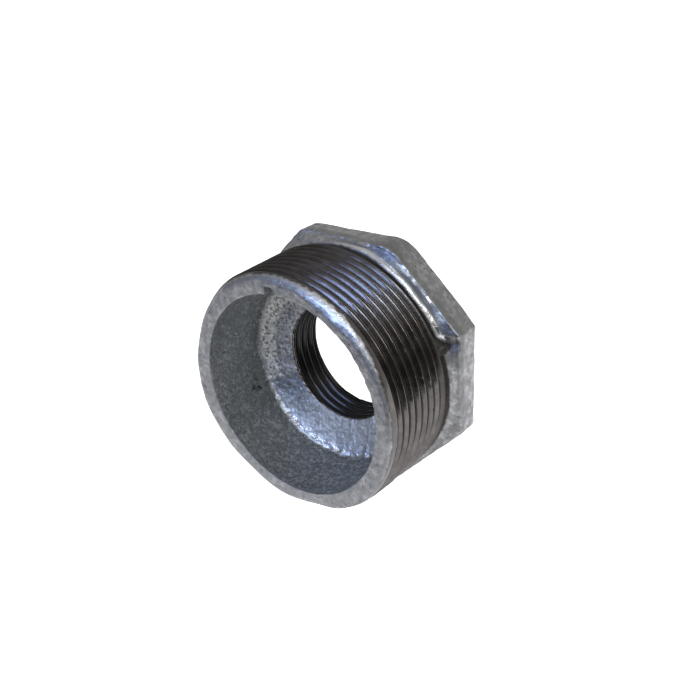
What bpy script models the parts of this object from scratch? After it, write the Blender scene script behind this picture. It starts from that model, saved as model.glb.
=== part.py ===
"""Octagon reducing bush in galvanised malleable iron: 2 inch taper male thread, 1 inch female thread.

One casting, with both threads cut into it. It joins a 2 inch pipe socket to a 1 inch pipe on the
same centre line.

Units are metres. The pipe axis is world Y, with the male end at -Y, and one flat of the octagon
collar is at the bottom. The origin is on the axis, halfway along the length. The shapes are drawn
about a local Z axis that starts at the male end face, and an empty lays that axis along Y.
"""

import math

import bmesh
import bpy
from mathutils import Matrix

MM = 0.001

# Whitworth pipe thread: 11 threads an inch on both ends, 55 degree flanks, taper 1 in 16 on diameter.
PITCH = 25.4 * MM / 11
THREAD_DEPTH = 0.640327 * PITCH
ROOT_FLAT = PITCH / 6
FLANK_SLOPE = math.tan(math.radians(27.5))
TAPER = 1 / 32

# Overall sizes.
LENGTH = 31.4 * MM
ACROSS_FLATS = 61.6 * MM
COLLAR_SIDES = 8
COLLAR_CORNER_RADIUS = 2.5 * MM
COLLAR_FRONT = 24.3 * MM

# Male thread. The gauge plane is where the taper has its nominal diameter.
MALE_GAUGE_DIAMETER = 59.614 * MM
MALE_GAUGE_LENGTH = 15.9 * MM
MALE_THREAD_START = -1.95 * MM
MALE_THREAD_END = 20.4 * MM
NOSE_RADIUS = 1.8 * MM

# Undercut where the male thread runs out, and the hollow fillet that joins it to the collar.
RELIEF_START = 19.0 * MM
RELIEF_END = 21.5 * MM
RELIEF_WALL = 0.8 * MM
RELIEF_EXTRA_DEPTH = 0.12 * MM
FILLET_RADIUS = 2.8 * MM

# Cored recess in the male end.
RECESS_MOUTH_RADIUS = 24.6 * MM
RECESS_END_RADIUS = 24.0 * MM
RECESS_WALL_LENGTH = 16.4 * MM
RECESS_FILLET_RADIUS = 2.4 * MM
MOUTH_CHAMFER = 0.9 * MM

# Female thread, cut parallel through the collar from the recess floor to the back face.
BORE_RADIUS = 30.291 / 2 * MM
BORE_ENTRY = 20.8 * MM
BORE_CHAMFER = 1.5 * MM
FEMALE_THREAD_START = 17.02 * MM
FEMALE_THREAD_TURNS = 7

# Facets round a full turn.
OUTSIDE_STEPS = 40
INSIDE_STEPS = 32
ARC_STEPS = 4

# How far a cutter reaches past the surface that it cuts.
OVERRUN = 3 * MM
GROOVE_OVERRUN = 0.25 * MM

SHARP_EDGE = math.radians(35)
ZINC_COLOUR = (0.46, 0.46, 0.47, 1)
ZINC_ROUGHNESS = 0.42


def clear_scene():
    for obj in list(bpy.data.objects):
        bpy.data.objects.remove(obj, do_unlink=True)


def new_collection(name):
    collection = bpy.data.collections.new(name)
    bpy.context.scene.collection.children.link(collection)
    return collection


def pipe_axis_empty(collection):
    """An empty whose local +Z is world +Y. Local z = 0 is the male end face."""
    axis = bpy.data.objects.new("pipe_axis", None)
    axis.location = (0, -LENGTH / 2, 0)
    axis.rotation_euler = (math.radians(-90), 0, 0)
    collection.objects.link(axis)
    return axis


def add_object(name, mesh, collection, axis):
    obj = bpy.data.objects.new(name, mesh)
    obj.parent = axis
    collection.objects.link(obj)
    return obj


def make_cutter(obj):
    obj.hide_render = True
    obj.display_type = "WIRE"


def arc(centre, radius, start_deg, end_deg):
    """Points (r, z) of an arc, both ends included."""
    points = []
    for step in range(ARC_STEPS + 1):
        angle = math.radians(start_deg + (end_deg - start_deg) * step / ARC_STEPS)
        points.append((centre[0] + radius * math.cos(angle), centre[1] + radius * math.sin(angle)))
    return points


def turned(name, profile, steps, collection, axis):
    """A solid turned about local Z. The profile's (r, z) points run down from the axis to the axis."""
    mesh = bpy.data.meshes.new(name)
    edges = [(i, i + 1) for i in range(len(profile) - 1)]
    mesh.from_pydata([(r, 0, z) for r, z in profile], edges, [])
    obj = add_object(name, mesh, collection, axis)
    screw = obj.modifiers.new("turn", "SCREW")
    screw.axis = "Z"
    screw.steps = steps
    screw.render_steps = steps
    screw.use_merge_vertices = True
    screw.merge_threshold = 0.00001
    return obj


def male_crest_radius(z):
    return MALE_GAUGE_DIAMETER / 2 + (z - MALE_GAUGE_LENGTH) * TAPER


def outside_profile():
    """Outer shape before the collar is made octagonal: back face, collar, fillet, relief, taper, nose."""
    relief_floor = male_crest_radius(RELIEF_START) - THREAD_DEPTH - RELIEF_EXTRA_DEPTH
    fillet_foot = male_crest_radius(RELIEF_END) - THREAD_DEPTH / 3
    collar_radius = ACROSS_FLATS / 2 / math.cos(math.pi / COLLAR_SIDES) + OVERRUN
    profile = [(0, LENGTH), (collar_radius, LENGTH), (collar_radius, COLLAR_FRONT)]
    profile += arc((fillet_foot + FILLET_RADIUS, COLLAR_FRONT - FILLET_RADIUS), FILLET_RADIUS, 90, 180)
    profile += [
        (relief_floor, RELIEF_END - RELIEF_WALL),
        (relief_floor, RELIEF_START + RELIEF_WALL),
        (male_crest_radius(RELIEF_START), RELIEF_START),
    ]
    nose_centre = (male_crest_radius(NOSE_RADIUS) - NOSE_RADIUS, NOSE_RADIUS)
    profile += arc(nose_centre, NOSE_RADIUS, 0, -90)
    profile += [(0, 0)]
    return profile


def hollow_profile():
    """Everything that is open along the axis: back chamfer, bore, recess floor, recess, mouth chamfer."""
    chamfer_radius = BORE_RADIUS + BORE_CHAMFER
    floor_fillet = (RECESS_END_RADIUS - RECESS_FILLET_RADIUS, RECESS_WALL_LENGTH)
    profile = [
        (0, LENGTH + OVERRUN),
        (chamfer_radius + OVERRUN, LENGTH + OVERRUN),
        (BORE_RADIUS, LENGTH - BORE_CHAMFER),
        (BORE_RADIUS, BORE_ENTRY),
    ]
    profile += arc(floor_fillet, RECESS_FILLET_RADIUS, 75, 0)
    profile += [
        (RECESS_MOUTH_RADIUS, MOUTH_CHAMFER),
        (RECESS_MOUTH_RADIUS + MOUTH_CHAMFER + OVERRUN, -OVERRUN),
        (0, -OVERRUN),
    ]
    return profile


def octagon_prism(name, collection, axis):
    """The collar's flats as a long prism. It is wider than the thread, so it only trims the collar."""
    height = LENGTH + 2 * OVERRUN
    corner = ACROSS_FLATS / 2 / math.cos(math.pi / COLLAR_SIDES)
    cage = bmesh.new()
    bmesh.ops.create_cone(
        cage, cap_ends=True, segments=COLLAR_SIDES, radius1=corner, radius2=corner, depth=height
    )
    half_side = math.pi / COLLAR_SIDES
    bmesh.ops.rotate(cage, verts=cage.verts, matrix=Matrix.Rotation(half_side, 3, "Z"))
    bmesh.ops.translate(cage, verts=cage.verts, vec=(0, 0, LENGTH / 2))
    upright = [edge for edge in cage.edges if abs(edge.verts[0].co.z - edge.verts[1].co.z) > height / 2]
    setback = COLLAR_CORNER_RADIUS * math.tan(half_side)
    bmesh.ops.bevel(cage, geom=upright, offset=setback, segments=3, profile=0.5, affect="EDGES")
    mesh = bpy.data.meshes.new(name)
    cage.to_mesh(mesh)
    cage.free()
    return add_object(name, mesh, collection, axis)


def groove_section(surface_radius, outward):
    """The V of one thread groove as (r, dz) corners. The open side is just past the surface cut."""
    direction = 1 if outward else -1
    root_half = ROOT_FLAT / 2
    open_half = root_half + (THREAD_DEPTH + GROOVE_OVERRUN) * FLANK_SLOPE
    root_radius = surface_radius + direction * THREAD_DEPTH
    open_radius = surface_radius - direction * GROOVE_OVERRUN
    section = [
        (open_radius, -open_half),
        (root_radius, -root_half),
        (root_radius, root_half),
        (open_radius, open_half),
    ]
    return section if outward else section[::-1]


def helical_groove(name, surface_radius, start, turns, steps, outward, collection, axis):
    """A right-hand thread groove as a closed loft of V sections, each turned on by one step."""
    count = math.ceil(turns * steps)
    points = []
    for step in range(count + 1):
        # Half a step off the turned body's facets, so that no edges coincide.
        angle = 2 * math.pi * (step + 0.5) / steps
        centre = start + PITCH * angle / (2 * math.pi)
        for radius, offset in groove_section(surface_radius(centre), outward):
            points.append((radius * math.cos(angle), radius * math.sin(angle), centre + offset))
    faces = [(0, 1, 2, 3), tuple(4 * count + corner for corner in (3, 2, 1, 0))]
    for step in range(count):
        for corner in range(4):
            first, second = 4 * step + corner, 4 * step + (corner + 1) % 4
            faces.append((first, first + 4, second + 4, second))
    mesh = bpy.data.meshes.new(name)
    mesh.from_pydata(points, [], faces)
    return add_object(name, mesh, collection, axis)


def add_boolean(target, cutter, operation):
    boolean = target.modifiers.new(cutter.name, "BOOLEAN")
    boolean.operation = operation
    boolean.solver = "EXACT"
    boolean.object = cutter


def galvanised_iron():
    material = bpy.data.materials.new("galvanised_iron")
    material.use_nodes = True
    shader = material.node_tree.nodes["Principled BSDF"]
    shader.inputs["Base Color"].default_value = ZINC_COLOUR
    shader.inputs["Metallic"].default_value = 1.0
    shader.inputs["Roughness"].default_value = ZINC_ROUGHNESS
    return material


def apply_modifiers(obj):
    """Gives the object its evaluated mesh, so that its shading can be set."""
    bpy.context.view_layer.update()
    graph = bpy.context.evaluated_depsgraph_get()
    finished = bpy.data.meshes.new_from_object(obj.evaluated_get(graph), depsgraph=graph)
    obj.modifiers.clear()
    obj.data = finished


def shade_smooth(obj):
    """Smooth shading that stops at every edge sharper than SHARP_EDGE."""
    obj.data.shade_smooth()
    obj.data.set_sharp_from_angle(angle=SHARP_EDGE)


def build():
    clear_scene()
    parts = new_collection("reducing_bush_parts")
    cutters = new_collection("cutters")
    cutters.hide_render = True
    axis = pipe_axis_empty(parts)

    bush = turned("reducing_bush", outside_profile(), OUTSIDE_STEPS, parts, axis)
    octagon = octagon_prism("octagon_flats", cutters, axis)
    hollow = turned("recess_and_bore", hollow_profile(), INSIDE_STEPS, cutters, axis)
    male_turns = (MALE_THREAD_END - MALE_THREAD_START) / PITCH
    male_groove = helical_groove(
        "male_thread_groove",
        male_crest_radius,
        MALE_THREAD_START,
        male_turns,
        OUTSIDE_STEPS,
        False,
        cutters,
        axis,
    )
    female_groove = helical_groove(
        "female_thread_groove",
        lambda z: BORE_RADIUS,
        FEMALE_THREAD_START,
        FEMALE_THREAD_TURNS,
        INSIDE_STEPS,
        True,
        cutters,
        axis,
    )

    add_boolean(bush, octagon, "INTERSECT")
    add_boolean(bush, hollow, "DIFFERENCE")
    add_boolean(bush, male_groove, "DIFFERENCE")
    add_boolean(bush, female_groove, "DIFFERENCE")
    for cutter in (octagon, hollow, male_groove, female_groove):
        make_cutter(cutter)
    apply_modifiers(bush)
    bush.data.materials.clear()
    bush.data.materials.append(galvanised_iron())
    shade_smooth(bush)


build()
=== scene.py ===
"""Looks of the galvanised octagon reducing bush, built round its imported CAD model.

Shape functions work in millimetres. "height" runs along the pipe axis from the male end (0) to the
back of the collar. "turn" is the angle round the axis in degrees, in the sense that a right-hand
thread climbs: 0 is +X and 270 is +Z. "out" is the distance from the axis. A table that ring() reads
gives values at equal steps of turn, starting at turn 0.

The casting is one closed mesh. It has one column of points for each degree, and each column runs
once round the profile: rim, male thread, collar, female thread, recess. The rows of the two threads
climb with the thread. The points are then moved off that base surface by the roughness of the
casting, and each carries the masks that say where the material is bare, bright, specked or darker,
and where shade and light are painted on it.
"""
import math

import bpy
import numpy as np
from mathutils import Matrix, Vector, noise


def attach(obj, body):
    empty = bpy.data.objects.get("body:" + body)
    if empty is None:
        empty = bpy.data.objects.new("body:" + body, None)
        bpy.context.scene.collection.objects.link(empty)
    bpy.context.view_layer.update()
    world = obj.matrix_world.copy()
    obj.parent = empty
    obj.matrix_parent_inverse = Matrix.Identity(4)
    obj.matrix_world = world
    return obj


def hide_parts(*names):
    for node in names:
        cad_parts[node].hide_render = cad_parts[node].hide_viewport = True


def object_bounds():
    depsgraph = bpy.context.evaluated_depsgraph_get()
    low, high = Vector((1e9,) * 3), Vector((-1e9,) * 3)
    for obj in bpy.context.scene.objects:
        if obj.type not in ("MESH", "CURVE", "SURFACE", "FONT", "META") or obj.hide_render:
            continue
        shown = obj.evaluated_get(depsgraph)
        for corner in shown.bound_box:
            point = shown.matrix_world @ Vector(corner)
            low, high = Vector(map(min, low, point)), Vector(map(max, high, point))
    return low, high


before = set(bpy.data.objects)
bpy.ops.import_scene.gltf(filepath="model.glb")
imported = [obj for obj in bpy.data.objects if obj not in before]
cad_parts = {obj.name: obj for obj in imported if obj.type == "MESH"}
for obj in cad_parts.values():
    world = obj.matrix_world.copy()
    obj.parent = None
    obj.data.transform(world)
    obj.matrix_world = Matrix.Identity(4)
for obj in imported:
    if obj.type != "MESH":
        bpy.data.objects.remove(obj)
cad_low, cad_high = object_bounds()

MM = 0.001
LENGTH = (cad_high.y - cad_low.y) / MM
FLAT_DISTANCE = (cad_high.x - cad_low.x) / MM / 2
COLUMNS = 360
ZONES = ("rim", "male", "collar", "female", "recess")

# Both threads. The V is shallower and more open than a new one, and the crests are worn round.
PITCH = 25.4 / 11
THREAD_DEPTH = 0.55 * PITCH
FLANK_SLOPE = 1 / math.tan(math.radians(31.5))
CREST_ROUND = 0.22

# Male end. Phases are the places of a thread's rows within one pitch.
MALE_CREST_OUT = 29.39
MALE_TAPER = 1 / 32
MALE_CREST_HEIGHT = 11.10
MALE_PHASES = (0.0, 0.03, 0.06, 0.12, 0.20, 0.29, 0.37, 0.45, 0.55, 0.63, 0.71, 0.80, 0.88, 0.94, 0.97)
MALE_ROWS_START = 0.5
MALE_ROWS_END = 21.2
FIRST_GROOVE_HEIGHTS = (
    2.6, 2.2, 1.9, 1.6, 1.4, 1.2, 1.1, 1.0, 0.95, 0.9, 0.95, 1.1, 1.3, 1.5, 1.7, 1.9, 2.1, 2.35
)
NOSE_RADII = (1.0, 1.0, 0.8, 1.8, 4.2, 3.2, 3.8, 2.8, 2.0, 2.6, 3.9, 4.0, 2.6, 1.9, 2.4, 3.2, 2.2, 1.4)

# The male end is swollen at one side, between a rise and a fall along its height.
SWELL = 0.50
SWELL_TURNS = (52, 34)
SWELL_RISE = (1, 3)
SWELL_FALL = (9, 14)

# Mouth of the recess, with its small chip.
MOUTH_OUT = 24.6
MOUTH_CENTRE = (0.9, 0.2)
MOUTH_EDGE_HEIGHT = 0.22
MOUTH_EDGE_WIDTH = 0.28
CHIP_TURN = 266.0
CHIP_DEPTH = 1.9

# Undercut between the male thread and the collar. It breaks out through one corner in a notch.
RELIEF_START = 20.3
RELIEF_OUT = 27.7
NOTCH_TURN = -19.5
NOTCH_RISE = 1.9
NOTCH_WIDTH_BEFORE = 6.5
NOTCH_WIDTH_AFTER = 3.8

# Collar. Side 0 faces +X and the next ones follow towards +Z. Corner 0 lies between sides 0 and 1.
SIDES = 8
SIDE_ANGLE = 360 / SIDES
SIDE_OUTS = (31.4, 31.25, 30.55, 31.05, 30.8, 30.7, 30.9, 31.0)
CORNER_RADII = (0.8, 8.0, 3.2, 2.2, 1.8, 2.4, 2.0, 1.8)
FOOT_OUT = 29.5
FOOT_HEIGHTS = (
    23.2, 24.0, 24.6, 24.8, 24.2, 23.6, 23.2, 23.0, 22.8, 22.9, 23.1, 23.2,
    23.2, 23.0, 22.9, 22.8, 22.6, 22.4, 22.7, 22.6, 22.0, 21.9, 22.2, 22.8,
)
FRONT_EDGE_HEIGHTS = (
    24.4, 24.8, 25.0, 24.6, 24.4, 24.4, 24.5, 24.6, 24.6, 24.5, 24.4, 24.4,
    24.3, 24.3, 24.4, 24.6, 25.0, 25.4, 24.9, 24.0, 24.0, 24.1, 24.0, 24.2,
)
BACK_HEIGHTS = (31.1, 30.9, 31.3, 31.4, 31.4, 31.2, 31.0, 31.7)
EDGE_ROUND = 0.55
BACK_EDGE_ROUND = 0.6
COLLAR_FRONT_END = 26

# Female thread and recess.
FEMALE_CREST_OUT = 15.15
FEMALE_ROOT_HEIGHT = 17.02
FEMALE_PHASES = (0.0, 0.08, 0.16, 0.36, 0.44, 0.56, 0.64, 0.84, 0.92)
BORE_ENTRY = 20.8
BORE_EXIT = 30.2
COUNTERSINK_OUT = 16.7
RECESS_CORNER_HEIGHT = 17.5
RECESS_END_OUT = 24.4
SHELF_INNER_OUT = 20.2
SHELF_LOWEST = 17

# The recess changes at its parting line: past it the skin stands out more and the shelf is paler.
PARTING_TURN = 156

# Roughness of each cast face: how far its big, middle and fine lumps stand out.
RIM_LUMPS = (0.08, 0.08, 0.05)
RECESS_LUMPS = (0.14, 0.11, 0.10)
COLLAR_LUMPS = (0.08, 0.05, 0.02)

# Zinc. It ends at these heights on the male end, and it shines on one side of the collar.
ZINC_EDGE_HEIGHTS = (
    0.62, 0.62, 0.62, 0.7, 1.0, 1.0, 1.0, 1.0, 1.0, 1.0, 1.0, 1.0, 1.0, 1.0, 1.2, 1.75, 1.30, 0.75
)
BRIGHT_SIDE_STARTS = (262, 285)
BRIGHT_SIDE_ENDS = (338.5, 342)

# Marks that lie at one turn, each as that turn and how many degrees it reaches on either side.
CHIP_RIM_TURNS = (CHIP_TURN, 4.6)
CHIP_WALL_TURNS = (CHIP_TURN, 5.4)
PARTING_STEP_TURNS = (PARTING_TURN, 5)
PARTING_SOOT_TURNS = (PARTING_TURN + 1, 11)
CRINKLE_TURNS = (106, 62)
# Painted light: the turns where the lower recess wall is made lighter and bluer.
LIT_WALL_TURNS = (78, 75)
POLISHED_TURNS = (-58, 28)
UNDERCUT_BREAK_TURNS = (-18.6, 3.6)
BESIDE_NOTCH_TURNS = (-15.5, 7)
BELOW_NOTCH_TURNS = (-14.5, 5.5)
# Painted shade at one rounded corner of the collar.
CORNER_SHADE_TURNS = (-67.5, 11)
WAVY_LIP_TURNS = (-55, 70)
# Painted shade over the top of the male thread.
TOP_SHADE_TURNS = (-104, 50)
# Painted shade: the turns where the grooves' painted shade reaches further up the flanks.
WIDE_ROOT_SHADE_TURNS = (25, 55)

# Edges of marks, each as the turns, heights or outs between which the mark fades in or out.
UPPER_ENDS = (262, 290)
SHELF_FADES = (RECESS_END_OUT - 1.2, RECESS_END_OUT - 0.3)
LOWER_SHADE_STARTS = (104, 150)
UPPER_SHADE_FADES = (SHELF_INNER_OUT - 0.3, SHELF_INNER_OUT + 0.1)
CRINKLE_OUTS = (22.0, 23.2)
CRINKLE_HEIGHTS = (16.6, 17.6)
CAST_COLLAR_STARTS = (21.6, 22.4)
PARTING_STEP_HEIGHTS = (3.0, 14.0)
BITES_START = (2.0, 4.0)
BORE_LIP_FADES = (15.35, 15.55)
POLISHED_OUTS = (26.6, 27.8)
POLISHED_HEIGHT = 3
CHIP_RIM_FADES = (26.0, 26.7)
CHIP_WALL_FADES = (2.4, 3.8)
RIM_SPECKS_START = (27.5, 29.0)
# Painted shade at the male thread's end, by the undercut.
MALE_END_SHADE_STARTS = (19.4, 20.6)


def smooth(value, low, high):
    """0 below low, 1 above high, eased between."""
    t = np.clip((value - low) / (high - low), 0, 1)
    return t * t * (3 - 2 * t)


def bump(value, centre, width):
    """Bump of height 1 round one value, gone at width on either side."""
    return 1 - smooth(np.abs(value - centre), 0, width)


def past(turn, centre):
    """Turn measured from centre, from -180 to 180 degrees."""
    return (turn - centre + 180) % 360 - 180


def near(turn, centre, width):
    """Bump of height 1 round one turn, gone at width degrees on either side."""
    return bump(past(turn, centre), 0, width)


def ring(turn, values):
    """Smooth periodic curve through values at equal steps of turn, starting at turn 0."""
    values = np.array(values, float)
    place = (np.asarray(turn) % 360) * len(values) / 360
    low = np.floor(place).astype(int) % len(values)
    t = smooth(place - np.floor(place), 0, 1)
    return values[low] * (1 - t) + values[(low + 1) % len(values)] * t


def grain(points, size, seed):
    """Smooth noise from about -1 to 1 at points, with lumps of that size in millimetres."""
    scaled = points / size + np.array([seed * 13.7, seed * 5.3, seed * 9.1])
    return np.array([noise.noise(p) for p in scaled.tolist()]) * 1.6


# ---------------------------------------------------------------- profile of the fitting


def thread_cut(place):
    """Depth cut below the crest at a place in the pitch, in pitches from the crest line."""
    gap = np.abs((place + 0.5) % 1 - 0.5) * PITCH
    return np.minimum(np.hypot(gap * FLANK_SLOPE, CREST_ROUND) - CREST_ROUND, THREAD_DEPTH)


def male_crest(height):
    """The taper that the male thread's crests lie on."""
    return MALE_CREST_OUT + height * MALE_TAPER


def nose_out(height, turn):
    """Outside of the rounded nose. Its radius changes round the rim."""
    radius = ring(turn, NOSE_RADII)
    rise = np.clip(radius - height, 0, radius)
    return male_crest(0) - radius + np.sqrt(radius**2 - rise**2) + height * MALE_TAPER


def male_out(height, turn):
    """Outside of the male end at a height and turn, and how deep in the thread it is."""
    place = (height - MALE_CREST_HEIGHT) / PITCH - turn / 360
    cut = thread_cut(place) * smooth(height - ring(turn, FIRST_GROOVE_HEIGHTS), -0.1, 0.55)
    relief = smooth(height, RELIEF_START, RELIEF_START + 1.0)
    relieved = male_crest(height) * (1 - relief) + RELIEF_OUT * relief
    swell = SWELL * near(turn, *SWELL_TURNS) * smooth(height, *SWELL_RISE) * (1 - smooth(height, *SWELL_FALL))
    out = np.minimum(np.minimum(male_crest(height) - cut, nose_out(height, turn)), relieved) + swell
    return out, np.clip(cut / THREAD_DEPTH, 0, 1)


def female_out(height, turn):
    """Inside of the bore at a height and turn, and how deep in the thread it is."""
    place = (height - FEMALE_ROOT_HEIGHT) / PITCH - turn / 360 + 0.5
    cut = thread_cut(place)
    return FEMALE_CREST_OUT + cut, np.clip(cut / THREAD_DEPTH, 0, 1)


def direction(angle):
    """Unit vector at an angle in degrees."""
    return np.array([math.cos(math.radians(angle)), math.sin(math.radians(angle))])


def cross(a, b):
    return a[0] * b[1] - a[1] * b[0]


def octagon_out(turn):
    """Distance from the axis to the collar's outside, with each corner rounded by its own radius."""
    angle = -turn % 360
    side = int(round(angle / SIDE_ANGLE)) % SIDES
    lean = past(angle, side * SIDE_ANGLE)
    other = (side + (1 if lean >= 0 else -1)) % SIDES
    radius = CORNER_RADII[side if lean >= 0 else other]
    outs = np.array([SIDE_OUTS[side], SIDE_OUTS[other]])
    normals = np.stack([direction(SIDE_ANGLE * side), direction(SIDE_ANGLE * other)])
    centre = np.linalg.solve(normals, outs - radius)
    way = direction(angle)
    arc_start, arc_end = centre + radius * normals
    if cross(arc_start, way) * cross(way, arc_end) <= 0:
        return float(np.min(outs / (normals @ way)))
    along = float(way @ centre)
    return along + math.sqrt(max(radius**2 - float(centre @ centre) + along**2, 0))


def foot_height(turn):
    """Where the collar's front starts, at FOOT_OUT from the axis. It rises at the notch."""
    width = np.where(past(turn, NOTCH_TURN) > 0, NOTCH_WIDTH_AFTER, NOTCH_WIDTH_BEFORE)
    return ring(turn, FOOT_HEIGHTS) + NOTCH_RISE * near(turn, NOTCH_TURN, width)


def front_edge(turn):
    """Height of the collar flats' front edge."""
    return ring(turn, FRONT_EDGE_HEIGHTS)


def thread_rows(phases, offset, low, high, turn):
    """Rows of one column that follow a thread between two heights, as (row number, height)."""
    rows = []
    count = len(phases)
    first, last = math.floor((low - offset) / PITCH) - 2, math.ceil((high - offset) / PITCH)
    for number in range(first * count, last * count):
        height = offset + PITCH * (number // count + phases[number % count] + turn / 360)
        if low < height < high:
            rows.append((number, height))
    return rows


def bezier(a, b, c, count):
    """Points on a curve from a towards b to c, without its first point."""
    t = np.linspace(0, 1, count + 1)[1:, None]
    a, b, c = (np.array(p, float) for p in (a, b, c))
    return ((1 - t) ** 2 * a + 2 * t * (1 - t) * b + t * t * c).tolist()


def line(a, b, count):
    """Points on the line from a to b, without its first point."""
    t = np.linspace(0, 1, count + 1)[1:, None]
    a, b = np.array(a, float), np.array(b, float)
    return (a + (b - a) * t).tolist()


def between(a, b, share_out, share_height):
    """The point that lies those shares of the way from a to b."""
    return a[0] + share_out * (b[0] - a[0]), a[1] + share_height * (b[1] - a[1])


def rim_path(turn):
    """From the mouth's edge over the rim to where the thread rows begin, as (out, height)."""
    start = [MOUTH_OUT, MOUTH_EDGE_HEIGHT]
    radius = float(ring(turn, NOSE_RADII))
    flat_end = male_crest(0) - radius
    arc_end = math.acos(max(1 - (MALE_ROWS_START - 0.12) / radius, 0.15))
    path = [start] + bezier(start, (MOUTH_OUT, 0.01), (MOUTH_OUT + MOUTH_EDGE_WIDTH, 0.0), 3)
    path += line(path[-1], (flat_end, 0.0), 8)
    for share in (0.25, 0.5, 0.75, 1.0):
        angle = arc_end * share
        path.append([flat_end + radius * math.sin(angle), radius * (1 - math.cos(angle))])
    return path


def collar_path(turn):
    """From the undercut over the collar to the countersink, as (out, height)."""
    side, foot, back = octagon_out(turn), float(foot_height(turn)), float(ring(turn, BACK_HEIGHTS))
    edge = max(float(front_edge(turn)), foot + 0.2)
    path = [[RELIEF_OUT, MALE_ROWS_END + 0.12]]
    path += bezier(path[-1], (RELIEF_OUT + 0.1, foot - 0.3), (FOOT_OUT - 0.25, foot - 0.2), 5)

    # A lip and a hollow cove make the front, between the foot and the flat.
    start, end = (FOOT_OUT - 0.05, foot - 0.1), (side - EDGE_ROUND, edge)
    lip_width, lip_rise = min(0.80, 0.55 * (end[0] - start[0])), min(0.75, 0.45 * (end[1] - start[1]))
    lip = (start[0] + lip_width, start[1] + lip_rise)
    path += [start] + bezier(start, between(start, lip, 0.45, 0.30), lip, 4)
    path += bezier(lip, between(lip, end, 0.40, 0.55), end, 6)

    path += bezier(path[-1], (side, edge), (side, edge + EDGE_ROUND), 3)
    path += line(path[-1], (side, back - BACK_EDGE_ROUND), 7)
    path += bezier(path[-1], (side, back), (side - BACK_EDGE_ROUND, back), 3)
    path += line(path[-1], (COUNTERSINK_OUT + 0.4, back), 8)
    path += bezier(path[-1], (COUNTERSINK_OUT, back), (COUNTERSINK_OUT - 0.3, back - 0.4), 2)
    path += line(path[-1], (FEMALE_CREST_OUT + 0.35, BORE_EXIT + 0.1), 2)
    return path


def recess_path(turn):
    """From the bore's entry over the shelf and down the recess wall to the mouth, as (out, height)."""
    angle = math.radians(turn)
    unevenness = 0.35 * math.sin(angle + math.radians(200)) + 0.12 * math.sin(5 * angle + math.radians(50))
    corner = RECESS_CORNER_HEIGHT + unevenness
    bore_edge = (FEMALE_CREST_OUT + 0.35, BORE_ENTRY - 0.3)
    path = [[FEMALE_CREST_OUT + 0.05, BORE_ENTRY + 0.02]]
    path += bezier(path[-1], (FEMALE_CREST_OUT, BORE_ENTRY - 0.2), bore_edge, 2)
    path += line(path[-1], (SHELF_INNER_OUT, corner + 1.9), 9)
    path += line(path[-1], (RECESS_END_OUT - 1.3, corner + 0.7), 6)
    path += bezier(path[-1], (RECESS_END_OUT - 0.05, corner + 0.4), (RECESS_END_OUT, corner - 0.9), 6)
    path += line(path[-1], (MOUTH_OUT, 0.55), 22)
    return path


def chip(turn, out, height):
    """How far the small chip in the mouth's edge moves a point away from the axis."""
    depth = CHIP_DEPTH * (1 - smooth(abs(turn - CHIP_TURN), 1.2, 4.8))
    return depth * (1 - smooth(height, 0.6, 3.6)) * (1 - smooth(out, MOUTH_OUT + 0.6, MOUTH_OUT + 3.0))


# ---------------------------------------------------------------- mesh


def column_rows(turn):
    """All rows of one column round the profile: (zone, row number, out, height, thread depth)."""

    def plain(zone, path):
        return [(zone, i, out, height, 0.0) for i, (out, height) in enumerate(path)]

    def threaded(zone, shape, numbered):
        rows = []
        for number, height in numbered:
            out, depth = shape(height, turn)
            rows.append((zone, number, float(out), height, float(depth)))
        return rows

    male = thread_rows(MALE_PHASES, MALE_CREST_HEIGHT, MALE_ROWS_START, MALE_ROWS_END, turn)
    female = thread_rows(FEMALE_PHASES, FEMALE_ROOT_HEIGHT, BORE_ENTRY + 0.1, BORE_EXIT, turn)
    rows = plain("rim", rim_path(turn)) + threaded("male", male_out, male)
    rows += plain("collar", collar_path(turn)) + threaded("female", female_out, female[::-1])
    return rows + plain("recess", recess_path(turn))


def stitch(left, right):
    """Faces between two neighbouring columns, each a closed list of (key, vertex)."""
    left, right = left + left[:1], right + right[:1]
    right_keys = {key for key, _ in right}
    faces, i, j = [], 0, 0
    while i < len(left) - 1 or j < len(right) - 1:
        at_left = left[i + 1] if i + 1 < len(left) else None
        at_right = right[j + 1] if j + 1 < len(right) else None
        if at_left and at_right and at_left[0] == at_right[0]:
            faces.append((left[i][1], at_left[1], at_right[1], right[j][1]))
            i, j = i + 1, j + 1
        elif at_left and (at_left[0] not in right_keys or not at_right):
            faces.append((left[i][1], at_left[1], right[j][1]))
            i += 1
        else:
            faces.append((left[i][1], at_right[1], right[j][1]))
            j += 1
    return faces


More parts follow.
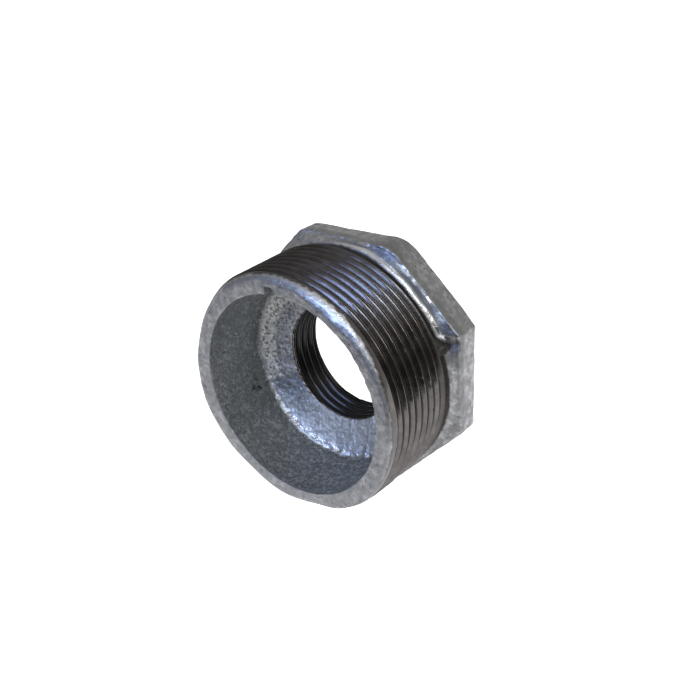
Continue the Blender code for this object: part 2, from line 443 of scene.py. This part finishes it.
def lay_out():
    """Base surface: arrays of zone, turn, out, height, thread depth and normal, and the faces."""
    columns, surface = [], []
    count = 0
    for turn in np.arange(COLUMNS) + 0.5:
        rows = column_rows(turn)
        zone = np.array([ZONES.index(row[0]) for row in rows])
        out, height, depth = np.array([row[2:] for row in rows]).T
        chipped = np.isin(zone, (ZONES.index("rim"), ZONES.index("recess")))
        out = out + chipped * chip(turn, out, height)
        along = np.stack([np.roll(out, -1) - np.roll(out, 1), np.roll(height, -1) - np.roll(height, 1)])
        along /= np.maximum(np.linalg.norm(along, axis=0), 1e-9)
        surface.append(np.stack([zone, np.full(len(rows), turn), out, height, depth, along[1], -along[0]]))
        columns.append([((row[0], row[1]), count + i) for i, row in enumerate(rows)])
        count += len(rows)

    # Past the last column the rows of a thread have climbed by one pitch.
    pitch_rows = {"male": len(MALE_PHASES), "female": len(FEMALE_PHASES)}
    again = [((zone, number - pitch_rows.get(zone, 0)), vertex) for (zone, number), vertex in columns[0]]
    faces = []
    for left, right in zip(columns, columns[1:] + [again]):
        faces += stitch(left, right)
    zone, turn, out, height, depth, normal_out, normal_height = np.concatenate(surface, axis=1)
    return zone.astype(int), turn, out, height, depth, (normal_out, normal_height), faces


class Skin:
    """The base surface's points, and what the roughness and the masks are worked out from."""

    def __init__(self, zone, turn, out, height, depth, points):
        self.turn, self.out, self.height, self.depth, self.points = turn, out, height, depth, points
        self.rim, self.male, self.collar, self.female, self.recess = (zone == i for i in range(len(ZONES)))
        self.big, self.mid, self.fine = grain(points, 5.0, 1), grain(points, 1.7, 2), grain(points, 0.8, 3)
        self.ragged, self.worn = grain(points, 1.1, 4), grain(points, 0.9, 5)
        self.above_foot, self.above_edge = height - foot_height(turn), height - front_edge(turn)
        self.past_zinc = height + 0.22 * self.ragged + 0.1 * self.fine - ring(turn, ZINC_EDGE_HEIGHTS)
        self.front = self.collar * (height < COLLAR_FRONT_END)
        self.cast_collar = self.collar * smooth(height, *CAST_COLLAR_STARTS)
        self.fillet = self.collar * smooth(self.above_foot, 0, 0.3) * (1 - smooth(self.above_edge, -0.1, 0.3))
        self.shelf = self.recess * (height > SHELF_LOWEST) * (1 - smooth(out, *SHELF_FADES))
        self.upper = smooth(turn, PARTING_TURN - 1, PARTING_TURN + 1) * (1 - smooth(turn, *UPPER_ENDS))
        crinkle = self.recess * smooth(out, *CRINKLE_OUTS) * smooth(height, *CRINKLE_HEIGHTS)
        self.crinkle = crinkle * near(turn, *CRINKLE_TURNS)
        undercut_edge = FOOT_OUT - 0.05 + 0.07 * self.ragged + 1.5 * near(turn, *UNDERCUT_BREAK_TURNS)
        self.undercut = self.front * (1 - smooth(out - undercut_edge, -0.08, 0.10))

    def lumps(self, sizes):
        """Rough skin of big, middle and fine lumps with those sizes."""
        return sizes[0] * self.big + sizes[1] * self.mid + sizes[2] * self.fine

    def casting_roughness(self):
        """How far the sand-cast skin stands out of the base surface."""
        push = self.rim * self.lumps(RIM_LUMPS) + self.recess * self.lumps(RECESS_LUMPS)
        push += self.cast_collar * self.lumps(COLLAR_LUMPS)
        push += self.crinkle * (0.32 * grain(self.points, 0.9, 7) + 0.22)
        parting_step = 0.22 * self.upper + 0.12 * near(self.turn, *PARTING_STEP_TURNS) * self.mid
        push += self.recess * smooth(self.height, *PARTING_STEP_HEIGHTS) * parting_step
        push += self.fillet * smooth(self.above_foot, 0.7, 1.0) * 0.10 * grain(self.points, 0.7, 8)
        push += self.fillet * near(self.turn, *WAVY_LIP_TURNS) * 0.04 * grain(self.points, 1.6, 10)
        by_edge = self.collar * bump(self.above_edge, 0.1, 0.9) * (self.out > FOOT_OUT + 0.6)
        return push + by_edge * 0.10 * grain(self.points, 1.3, 9)

    def thread_wear(self):
        """How far the thread is worn and bitten below the base surface."""
        patches = smooth(grain(self.points, 9.0, 6), 0.1, 0.4) * smooth(self.height, *BITES_START)
        bites = 0.3 * np.clip(self.worn - 0.75, 0, 1) * (1 - self.depth) * patches
        return self.male * (0.008 * self.mid + bites) + self.female * 0.012 * self.mid

    def bare(self):
        """Where the zinc is cut away: both threads, the undercut, the bore's entry and the countersink."""
        entry = BORE_ENTRY + 0.1 + 0.08 * self.ragged
        bare = self.male * smooth(self.past_zinc, -0.25, 0.05) + self.undercut
        bare += self.female * smooth(self.height - entry, -0.1, 0.1)
        bare += self.recess * (1 - smooth(self.out + 0.08 * self.ragged, *BORE_LIP_FADES))
        return bare + self.collar * (self.out < COUNTERSINK_OUT + 0.1)

    def bright_side(self):
        """The side of the collar where the zinc shines."""
        return smooth(self.turn, *BRIGHT_SIDE_STARTS) * (1 - smooth(self.turn, *BRIGHT_SIDE_ENDS))

    def run(self):
        """Bright zinc: on the collar's lip and edge, the crinkle in the recess, and part of the nose."""
        lip = self.fillet * (1 - smooth(self.above_foot, 0.50, 0.85))
        edge_line = self.collar * bump(self.above_edge, 0, 0.35) * (self.out > FOOT_OUT + 0.5)
        edge_line = edge_line * smooth(self.fine + self.mid, -0.4, 0.4)
        on_collar = (lip + 0.6 * edge_line) * self.bright_side() * (1 + 0.2 * self.mid)
        on_nose = (self.rim | self.male) * (self.height < POLISHED_HEIGHT) * smooth(self.out, *POLISHED_OUTS)
        polished = on_nose * near(self.turn, *POLISHED_TURNS)
        return np.maximum(np.maximum(on_collar, self.crinkle), 0.5 * polished)

    def cove(self):
        """The hollow between the lip and the collar's edge, where a painted reflection makes the zinc darker
        and bluer.
        """
        return self.fillet * smooth(self.above_foot, 0.6, 0.9) * self.bright_side()

    def specks_and_chip_shade(self):
        """Black specks by the parting line and on the rim, and painted shade inside the chip."""
        parting = self.recess * near(self.turn, *PARTING_SOOT_TURNS) * bump(self.height, 13.5, 4.0)
        # Painted shade: the inside of the chip is darkened on the rim and on the wall.
        chip_rim_shade = np.clip(1.8 * near(self.turn, *CHIP_RIM_TURNS), 0, 1)
        chip_rim_shade *= 1 - smooth(self.out, *CHIP_RIM_FADES)
        chip_wall_shade = np.clip(1.8 * near(self.turn, *CHIP_WALL_TURNS), 0, 1)
        chip_wall_shade *= 1 - smooth(self.height, *CHIP_WALL_FADES)
        specks = smooth(self.worn + 0.12 * smooth(self.out, *RIM_SPECKS_START), 0.86, 1.0)
        specks_and_chip_shade = parting * smooth(self.fine, 0.25, 0.6)
        return specks_and_chip_shade + self.rim * (0.8 * chip_rim_shade + 0.6 * specks) + 0.7 * self.recess * chip_wall_shade

    def shade(self):
        """Darker parts of the shelf."""
        lower = (1 - self.upper) * smooth(self.turn, *LOWER_SHADE_STARTS)
        inner = 0.5 * self.upper * (1 - smooth(self.out, *UPPER_SHADE_FADES))
        return self.shelf * (lower + inner)

    def shade_and_rim_tone(self):
        """Painted shade along the collar's front edge, at one corner and beside the notch, and the whole rim
        a darker grey.
        """
        by_edge, at_corner = bump(self.above_edge, 1.0, 1.7), near(self.turn, *CORNER_SHADE_TURNS)
        shade_and_rim_tone = self.cast_collar * (self.out > FOOT_OUT + 0.9) * (0.8 * by_edge + 0.7 * at_corner)
        return shade_and_rim_tone + 1.4 * self.front * near(self.turn, *BESIDE_NOTCH_TURNS) + 0.62 * self.rim

    def shade_and_zinc_edge(self):
        """Painted shade, darker and matte: at the male thread's end, in the undercut, below the notch and on
        the lip's foot.
        """
        shade_and_zinc_edge = np.clip(0.75 * self.male * smooth(self.height, *MALE_END_SHADE_STARTS) + self.undercut, 0, 1)
        below_notch = self.fillet * self.front * 1.5 * near(self.turn, *BELOW_NOTCH_TURNS)
        lip_foot = self.fillet * (1 - smooth(self.above_foot + 0.1 * self.ragged, 0.16, 0.36))
        lip_foot = lip_foot * smooth(self.turn, *BRIGHT_SIDE_STARTS)
        return np.maximum(np.maximum(shade_and_zinc_edge, 0.75 * np.clip(below_notch, 0, 1)), 0.9 * lip_foot)

    def root(self, shade_and_zinc_edge):
        """Painted shade at the bottom of both threads' grooves."""
        # The painted shade reaches further up the flanks at some turns.
        start = 0.66 - 0.22 * near(self.turn, *WIDE_ROOT_SHADE_TURNS)
        return smooth(self.depth, start, start + 0.28) * (self.male | self.female) * (1 - shade_and_zinc_edge)

    def masks(self):
        """What the material reads at each point, from 0 to 1."""
        shade_and_zinc_edge = self.shade_and_zinc_edge()
        zinc_end = self.male * (1 - smooth(np.abs(self.past_zinc + 0.02), 0.04, 0.22))
        masks = {
            "bare": self.bare(),
            "inside": self.recess,
            "shelf": self.shelf,
            "upper": self.upper * self.shelf,
            "run": self.run(),
            # Painted shade round the undercut, and a darker matte line where the zinc ends.
            "shade_and_zinc_edge": np.maximum(shade_and_zinc_edge, 0.8 * zinc_end),
            # Painted shade in the bottom of the threads' grooves.
            "root": self.root(shade_and_zinc_edge),
            # The female thread darker all over, and painted shade on the top of the male thread.
            "dark_bore_and_top_shade": self.female + self.male * 0.6 * near(self.turn, *TOP_SHADE_TURNS),
            # Black specks, and painted shade inside the chip.
            "specks_and_chip_shade": self.specks_and_chip_shade(),
            # Painted reflection: the collar's cove darker and bluer.
            "cove": self.cove(),
            "shade": self.shade(),
            # Painted light: the lower part of the recess wall is made lighter and bluer, as if lit by the
            # window.
            "lit_wall": self.recess * (1 - self.shelf) * near(self.turn, *LIT_WALL_TURNS),
            # Painted shade by the collar's front edge, a corner and the notch; the rim darker all over.
            "shade_and_rim_tone": self.shade_and_rim_tone(),
        }
        return {name: np.clip(values, 0, 1).astype(np.float32) for name, values in masks.items()}


def centre_share(zone, out, height):
    """How far a point's circle is shifted towards MOUTH_CENTRE, off the threads' axis: 0 to 1."""
    rim = 1 - smooth(out, MOUTH_OUT, MOUTH_OUT + 2.4)
    recess = smooth(out, 17.0, 22.0) * (1 - 0.8 * smooth(height, 2.0, 19.0))
    return np.select([zone == ZONES.index("rim"), zone == ZONES.index("recess")], [rim, recess])


def make_mesh():
    """The whole casting, with its masks as attributes."""
    zone, turn, out, height, depth, normal, faces = lay_out()
    share = centre_share(zone, out, height)
    angle = np.radians(turn)

    def place(out, height):
        across = np.cos(angle) * out + share * MOUTH_CENTRE[0]
        up = share * MOUTH_CENTRE[1] - np.sin(angle) * out
        return np.stack([across, height - LENGTH / 2, up], 1)

    skin = Skin(zone, turn, out, height, depth, place(out, height))
    push = skin.casting_roughness() - skin.thread_wear()
    points = place(out + push * normal[0], height + push * normal[1])
    mesh = bpy.data.meshes.new("bush_casting")
    mesh.from_pydata((points * MM).tolist(), [], faces)
    for name, values in skin.masks().items():
        mesh.attributes.new(name, "FLOAT", "POINT").data.foreach_set("value", values)
    mesh.polygons.foreach_set("use_smooth", [True] * len(mesh.polygons))
    mesh.update()
    return mesh


# ---------------------------------------------------------------- material

# Noise of the surface: scale, detail and roughness.
NOISES = {
    "blotch": (260, 3.0, 0.6),
    "mottle": (620, 4.0, 0.62),
    "speck": (1300, 3.0, 0.6),
    "sand": (2100, 2.0, 0.6),
}
MASKS = (
    "bare", "inside", "shelf", "upper", "run", "shade_and_zinc_edge", "root",
    "dark_bore_and_top_shade", "specks_and_chip_shade", "cove", "shade", "lit_wall", "shade_and_rim_tone",
)

# Colours, as linear red, green and blue.
ZINC_DULL, ZINC_PALE = (0.45, 0.445, 0.45), (0.58, 0.575, 0.575)
ZINC_GREY, ZINC_LIGHT = (0.40, 0.395, 0.40), (0.63, 0.63, 0.63)
ZINC_PIT, ZINC_SHADE_GREY, ZINC_SPECK_AND_SHADE = (0.10, 0.10, 0.10), (0.26, 0.26, 0.25), (0.03, 0.03, 0.03)
# The cove colour is a painted bluish reflection.
ZINC_COVE_REFLECTION, ZINC_RUN = (0.24, 0.26, 0.30), (0.88, 0.88, 0.87)
# The third wall colour is painted bluish light for the lower wall.
WALL_DARK, WALL_PALE, WALL_LIT_BLUE = (0.36, 0.375, 0.38), (0.62, 0.635, 0.63), (0.74, 0.78, 0.84)
WALL_SPECK, WALL_MOTTLE = (0.26, 0.27, 0.265), (0.30, 0.31, 0.31)
WALL_SAND, WALL_SPECK_AND_SHADE = (0.85, 0.87, 0.87), (0.01, 0.01, 0.01)
SHELF_DARK, SHELF_PALE = (0.53, 0.53, 0.52), (0.76, 0.76, 0.75)
UPPER_DARK, UPPER_PALE = (0.30, 0.30, 0.29), (0.93, 0.92, 0.90)
SHADE_DARK, SHADE_PALE = (0.24, 0.26, 0.29), (0.42, 0.44, 0.48)
IRON_DARK, IRON_PALE = (0.165, 0.149, 0.141), (0.225, 0.206, 0.197)
IRON_BORE_AND_TOP_SHADE, IRON_ROOT_SHADE, IRON_SHADE_AND_EDGE = (0.022, 0.023, 0.026), (0.02, 0.018, 0.016), (0.13, 0.12, 0.108)

BUMP_DISTANCE = 0.0004


class Tree:
    """Short names for making shader nodes."""

    def __init__(self, material):
        material.use_nodes = True
        self.nodes, self.links = material.node_tree.nodes, material.node_tree.links
        self.nodes.clear()

    def fill(self, socket, value):
        if isinstance(value, bpy.types.NodeSocket):
            self.links.new(value, socket)
        else:
            socket.default_value = value

    def add(self, kind, inputs=None, **settings):
        node = self.nodes.new(kind)
        for key, value in settings.items():
            setattr(node, key, value)
        for key, value in (inputs or {}).items():
            self.fill(node.inputs[key], value)
        return node

    def mask(self, name):
        return self.add("ShaderNodeAttribute", attribute_name=name).outputs["Fac"]

    def noise(self, vector, scale, detail, roughness):
        inputs = {"Vector": vector, "Scale": scale, "Detail": detail, "Roughness": roughness}
        return self.add("ShaderNodeTexNoise", inputs).outputs["Fac"]

    def ramp(self, value, low, high, to_low=0.0, to_high=1.0):
        inputs = {"Value": value, "From Min": low, "From Max": high, "To Min": to_low, "To Max": to_high}
        return self.add("ShaderNodeMapRange", inputs).outputs["Result"]

    def mix(self, share, a, b):
        """Colour a where share is 0 and b where it is 1."""
        a, b = ((*c, 1.0) if isinstance(c, tuple) else c for c in (a, b))
        return self.add("ShaderNodeMix", {0: share, 6: a, 7: b}, data_type="RGBA").outputs[2]

    def blend(self, share, a, b):
        """Number a where share is 0 and b where it is 1."""
        return self.add("ShaderNodeMix", {0: share, 2: a, 3: b}, data_type="FLOAT").outputs[0]

    def math(self, operation, a, b):
        return self.add("ShaderNodeMath", {0: a, 1: b}, operation=operation).outputs[0]


def zinc_colour(t, noises, masks):
    """The outside of the casting: mottled zinc with pits and stains."""
    zinc = t.mix(t.ramp(noises["blotch"], 0.35, 0.65), ZINC_DULL, ZINC_PALE)
    zinc = t.mix(t.ramp(noises["mottle"], 0.42, 0.62), zinc, ZINC_GREY)
    zinc = t.mix(t.ramp(noises["mottle"], 0.46, 0.34), zinc, ZINC_LIGHT)
    zinc = t.mix(t.ramp(noises["speck"], 0.62, 0.72), zinc, ZINC_PIT)
    # Painted shade by the collar's front edge, a corner and the notch; the rim darker all over.
    zinc = t.mix(t.math("MULTIPLY", masks["shade_and_rim_tone"], 0.8), zinc, ZINC_SHADE_GREY)
    # Painted reflection: the cove darker and bluer.
    zinc = t.mix(masks["cove"], zinc, ZINC_COVE_REFLECTION)
    # Black specks, and painted shade inside the chip.
    return t.mix(masks["specks_and_chip_shade"], zinc, ZINC_SPECK_AND_SHADE)


def wall_colour(t, noises, masks):
    """The recess wall: sandy and darker, with painted bluish light on its lower part."""
    wall = t.mix(t.ramp(noises["blotch"], 0.35, 0.68), WALL_DARK, WALL_PALE)
    # Painted light on the lower wall: lighter and bluer.
    wall = t.mix(t.math("MULTIPLY", masks["lit_wall"], 0.6), wall, WALL_LIT_BLUE)
    wall = t.mix(t.ramp(noises["speck"], 0.42, 0.60), wall, WALL_SPECK)
    wall = t.mix(t.ramp(noises["mottle"], 0.45, 0.62), wall, WALL_MOTTLE)
    wall = t.mix(t.ramp(noises["sand"], 0.60, 0.72), wall, WALL_SAND)
    # Black specks, and painted shade inside the chip.
    return t.mix(masks["specks_and_chip_shade"], wall, WALL_SPECK_AND_SHADE)


def shelf_colour(t, noises, masks):
    """The shelf at the bottom of the recess, with its pitted upper part and its shaded part."""
    speck = noises["speck"]
    shelf = t.mix(t.ramp(speck, 0.40, 0.60), SHELF_DARK, SHELF_PALE)
    shelf = t.mix(masks["upper"], shelf, t.mix(t.ramp(speck, 0.36, 0.56), UPPER_DARK, UPPER_PALE))
    return t.mix(masks["shade"], shelf, t.mix(t.ramp(speck, 0.40, 0.60), SHADE_DARK, SHADE_PALE))


def iron_colour(t, noises, masks):
    """Bare iron where the casting was machined."""
    iron = t.mix(t.ramp(noises["blotch"], 0.4, 0.62), IRON_DARK, IRON_PALE)
    # The female thread darker all over, and painted shade on the top of the male thread.
    iron = t.mix(t.math("MULTIPLY", masks["dark_bore_and_top_shade"], 0.82), iron, IRON_BORE_AND_TOP_SHADE)
    # Painted shade in the grooves' roots.
    iron = t.mix(masks["root"], iron, IRON_ROOT_SHADE)
    # Painted shade round the undercut, and a darker matte line where the zinc ends.
    return t.mix(masks["shade_and_zinc_edge"], iron, IRON_SHADE_AND_EDGE)


def surface_roughness(t, noises, masks):
    rough = t.blend(masks["run"], t.ramp(noises["mottle"], 0.35, 0.65, 0.38, 0.60), 0.16)
    rough = t.blend(masks["bare"], rough, t.ramp(noises["blotch"], 0.3, 0.7, 0.15, 0.21))
    return t.blend(t.math("MAXIMUM", masks["shade_and_zinc_edge"], masks["root"]), rough, 0.6)


def surface_bump(t, noises, masks):
    """Fine grain, strongest in the recess and faint on bright zinc and bare iron."""
    strength = t.blend(masks["inside"], 0.5, 1.0)
    strength = t.blend(t.math("SUBTRACT", masks["run"], masks["inside"]), strength, 0.12)
    strength = t.blend(masks["bare"], strength, 0.03)
    strength = t.blend(masks["shade_and_zinc_edge"], strength, 0.6)
    lumps = t.math("ADD", t.math("MULTIPLY", noises["speck"], 0.7), t.math("MULTIPLY", noises["sand"], 0.3))
    inputs = {"Strength": strength, "Distance": BUMP_DISTANCE, "Height": lumps}
    return t.add("ShaderNodeBump", inputs).outputs["Normal"]


def bush_material():
    """Galvanised casting with bare threads: the masks choose between zinc, recess, runs and iron."""
    material = bpy.data.materials.new("galvanised_iron")
    t = Tree(material)
    where = t.add("ShaderNodeTexCoord").outputs["Object"]
    noises = {name: t.noise(where, *values) for name, values in NOISES.items()}
    masks = {name: t.mask(name) for name in MASKS}
    recess = t.mix(masks["shelf"], wall_colour(t, noises, masks), shelf_colour(t, noises, masks))
    colour = t.mix(masks["inside"], zinc_colour(t, noises, masks), recess)
    colour = t.mix(masks["run"], colour, ZINC_RUN)
    colour = t.mix(masks["bare"], colour, iron_colour(t, noises, masks))
    inputs = {
        "Base Color": colour,
        "Metallic": 1.0,
        "Roughness": surface_roughness(t, noises, masks),
        "Normal": surface_bump(t, noises, masks),
    }
    shader = t.add("ShaderNodeBsdfPrincipled", inputs)
    t.add("ShaderNodeOutputMaterial", {"Surface": shader.outputs["BSDF"]})
    return material


# ---------------------------------------------------------------- stage, in metres

# The floor sheet is white in the metal's reflections, and the camera doesn't see it. Its near right
# part is cut away, so that the front of the fitting mirrors the dark room there.
SHEET = ((-0.6, -0.6), (0.0, -0.072), (0.6, -0.072), (0.6, 0.9), (-0.6, 0.9))
SHEET_WHITE, SHEET_GLOW = (1, 0.99, 0.98), 0.52

# The backdrop is a white dish: flat floor, rounded foot, upright wall. Only the camera sees it.
BACKDROP_FLAT = 3.0
BACKDROP_ROUND = 1.0
BACKDROP_TOP = 3.0
BACKDROP_DROP = 0.0005

# Each light: name, place, width, height, power and colour. All of them face the fitting.
LIGHTS = (
    ("window", (-0.20, -1.06, 0.50), 0.54, 0.32, 3.6, (0.36, 0.52, 1.0)),
    ("softbox", (0.44, -0.80, 0.80), 0.45, 0.36, 3.2, (0.80, 0.88, 1.0)),
    ("lamp", (0.80, -0.68, 0.56), 0.40, 0.22, 1.0, (1.0, 0.96, 0.86)),
)

# The room that the metal mirrors is dark in front of the fitting, and pale behind and above it.
ROOM_FRONT, ROOM_BACK, ROOM_TOP = (0.045, 0.043, 0.041), (0.40, 0.40, 0.395), (0.42, 0.42, 0.42)

# The camera: lens and sensor in millimetres, its place, and its own right, up and back directions.
LENS, SENSOR = 45.0, 36.0
CAMERA_PLACE = (0.12129, -0.14153, 0.09474)
CAMERA_RIGHT = (0.79372, 0.60587, -0.05419)
CAMERA_UP = (-0.22495, 0.37513, 0.89926)
CAMERA_BACK = (0.56516, -0.70157, 0.43404)


def glow_material(name, colour, strength):
    material = bpy.data.materials.new(name)
    t = Tree(material)
    inputs = {
        "Base Color": (0.8, 0.8, 0.8, 1),
        "Roughness": 0.9,
        "Emission Color": (*colour, 1),
        "Emission Strength": strength,
    }
    shader = t.add("ShaderNodeBsdfPrincipled", inputs)
    t.add("ShaderNodeOutputMaterial", {"Surface": shader.outputs["BSDF"]})
    return material


def stage_object(name, verts, faces, material):
    mesh = bpy.data.meshes.new(name)
    mesh.from_pydata(verts, [], faces)
    mesh.materials.append(material)
    made = bpy.data.objects.new(name, mesh)
    bpy.context.scene.collection.objects.link(made)
    return made


def lathe(profile, count=96):
    """Vertices and faces of a surface turned about +Z from (out, up) points."""
    around = [2 * math.pi * i / count for i in range(count)]
    verts = [(out * math.cos(a), out * math.sin(a), up) for out, up in profile for a in around]
    faces = []
    for k in range(len(profile) - 1):
        low, high = k * count, (k + 1) * count
        for i in range(count):
            after = (i + 1) % count
            faces.append((low + i, low + after, high + after, high + i))
    return verts, faces


def make_floor(floor_height):
    verts = [(x, y, floor_height) for x, y in SHEET]
    white = glow_material("studio_white", SHEET_WHITE, SHEET_GLOW)
    sheet = stage_object("floor", verts, [tuple(range(len(SHEET)))], white)
    sheet.visible_camera = False


def make_backdrop(floor_height):
    profile = [(out, -BACKDROP_DROP) for out in (0.0, 1.0, BACKDROP_FLAT)]
    for angle in (0.4, 0.8, 1.2, 1.57):
        out = BACKDROP_FLAT + BACKDROP_ROUND * math.sin(angle)
        profile.append((out, BACKDROP_ROUND * (1 - math.cos(angle))))
    profile.append((BACKDROP_FLAT + BACKDROP_ROUND, BACKDROP_TOP))
    verts, faces = lathe([(out, up + floor_height) for out, up in profile])
    backdrop = stage_object("backdrop", verts, faces, glow_material("backdrop_white", (1, 1, 1), 1.0))
    backdrop.visible_diffuse = backdrop.visible_glossy = False
    backdrop.visible_transmission = backdrop.visible_shadow = False


def area_light(name, place, width, height, power, colour):
    data = bpy.data.lights.new(name, "AREA")
    data.shape, data.size, data.size_y, data.energy, data.color = "RECTANGLE", width, height, power, colour
    made = bpy.data.objects.new(name, data)
    made.location = place
    made.rotation_euler = (-Vector(place)).to_track_quat("-Z", "Y").to_euler()
    made.visible_camera = False
    bpy.context.scene.collection.objects.link(made)


def make_world():
    world = bpy.data.worlds.new("room")
    bpy.context.scene.world = world
    t = Tree(world)
    way = t.add("ShaderNodeSeparateXYZ", {0: t.add("ShaderNodeTexCoord").outputs["Generated"]})
    wall = t.mix(t.ramp(way.outputs["Y"], -0.5, 0.5), ROOM_FRONT, ROOM_BACK)
    colour = t.mix(t.ramp(way.outputs["Z"], 0.15, 0.8), wall, ROOM_TOP)
    light = t.add("ShaderNodeBackground", {"Color": colour, "Strength": 1.0})
    t.add("ShaderNodeOutputWorld", {"Surface": light.outputs["Background"]})


def make_camera():
    data = bpy.data.cameras.new("camera")
    data.lens, data.sensor_width = LENS, SENSOR
    data.clip_start, data.clip_end = 0.01, 20.0
    camera = bpy.data.objects.new("camera", data)
    axes = Matrix((CAMERA_RIGHT, CAMERA_UP, CAMERA_BACK)).transposed().to_4x4()
    camera.matrix_world = Matrix.Translation(CAMERA_PLACE) @ axes
    bpy.context.scene.collection.objects.link(camera)
    bpy.context.scene.camera = camera


bush = bpy.data.objects.new("reducing_bush_visual", make_mesh())
bpy.context.scene.collection.objects.link(bush)
bush.data.materials.append(bush_material())
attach(bush, "root")
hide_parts("reducing_bush")

make_floor(-FLAT_DISTANCE * MM)
make_backdrop(-FLAT_DISTANCE * MM)
for light in LIGHTS:
    area_light(*light)
make_world()
make_camera()
bpy.context.scene.view_settings.view_transform = "Standard"
